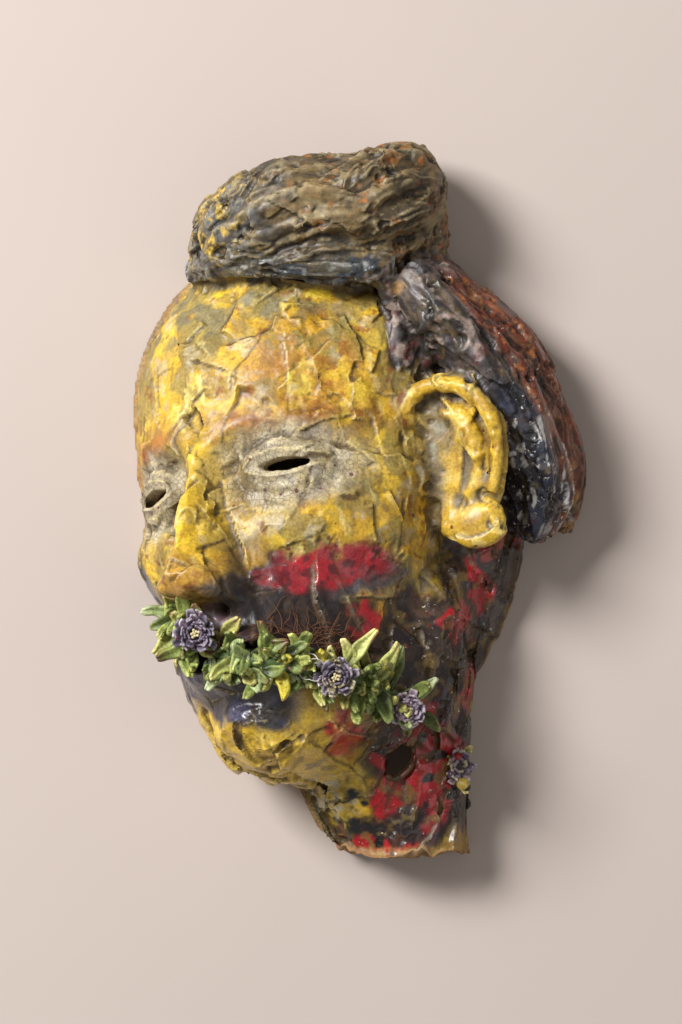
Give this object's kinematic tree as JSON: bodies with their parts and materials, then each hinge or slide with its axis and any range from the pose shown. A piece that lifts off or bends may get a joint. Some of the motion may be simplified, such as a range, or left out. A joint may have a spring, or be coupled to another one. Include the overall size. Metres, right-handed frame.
{
  "type": "ceramic mask",
  "caption": "Hollow glazed ceramic mask of a turned head with swept-up hair, an ear, an open-backed neck and a garland of leaves and flowers between the lips.",
  "frame": {"origin": "middle of the footprint, on the surface that the rim of the open back rests on", "axes": "+Z out of the front of the mask, +Y from the neck towards the hair, +X towards the ear"},
  "size_m": [0.286, 0.447, 0.1486],
  "materials": {
    "glazed_clay": "brushed yellow, ochre, grey, black and red glazes, semi-gloss, on coarse fired clay",
    "leaf_glaze": "light green glaze with yellow and brown tips, glossy",
    "flower_left_glaze": "dark violet-grey glaze, glossy",
    "flower_middle_glaze": "dark violet-grey glaze with cream touches, glossy",
    "flower_right_glaze": "violet and lilac glaze, glossy",
    "sprig_glaze": "lilac, brown and ochre glaze, glossy"
  },
  "bodies": {
    "root": {"mask": "glazed_clay", "garland": "leaf_glaze", "flower_left": "flower_left_glaze", "flower_middle": "flower_middle_glaze", "flower_right": "flower_right_glaze", "neck_sprig": "sprig_glaze"}
  },
  "joints": []
}
